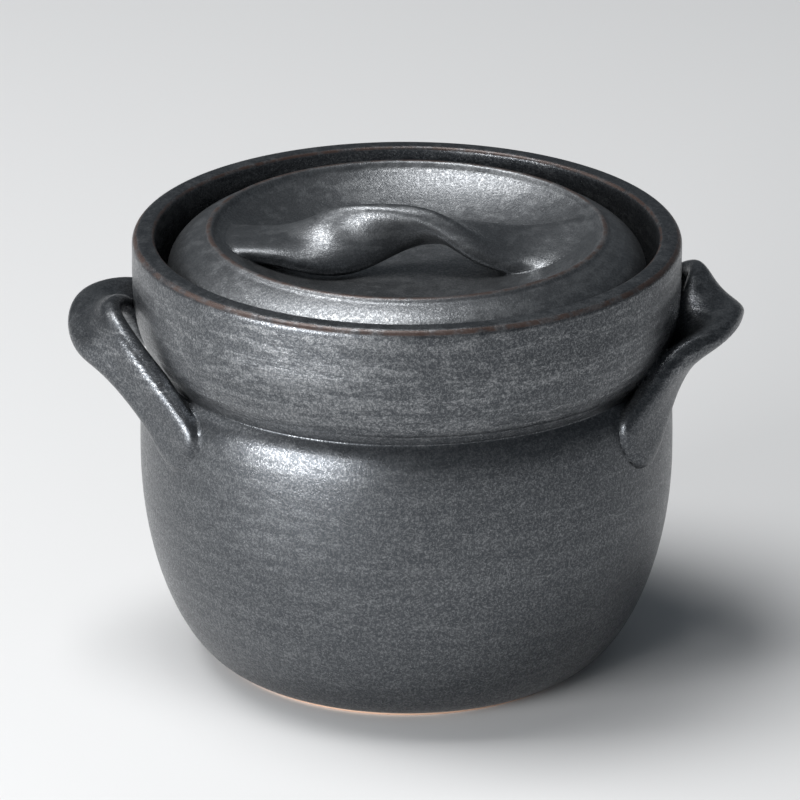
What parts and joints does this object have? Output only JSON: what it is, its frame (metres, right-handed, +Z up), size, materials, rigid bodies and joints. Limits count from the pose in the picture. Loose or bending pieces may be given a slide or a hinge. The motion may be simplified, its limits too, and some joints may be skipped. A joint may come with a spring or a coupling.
{
  "type": "ceramic rice pot",
  "caption": "Round-bellied glazed earthenware rice pot with a deep collar, twisted strap handles at its sides and a dished drop-in lid with a twisted strap handle.",
  "frame": {"origin": "centre of the foot's standing plane, on the pot's turning axis", "axes": "+Z up along the turning axis, +X from the axis towards one ear, +Y away from the side the picture was taken from"},
  "size_m": [0.2474, 0.2002, 0.1722],
  "materials": {
    "pot_glaze": "satin dark grey metallic glaze with a fine crystalline speckle, breaking reddish brown at the lip, unglazed buff foot",
    "lid_glaze": "satin dark grey metallic glaze with a fine crystalline speckle, breaking reddish brown at the raised ring"
  },
  "bodies": {
    "root": {"pot_body": "pot_glaze", "lid": "lid_glaze"}
  },
  "joints": []
}
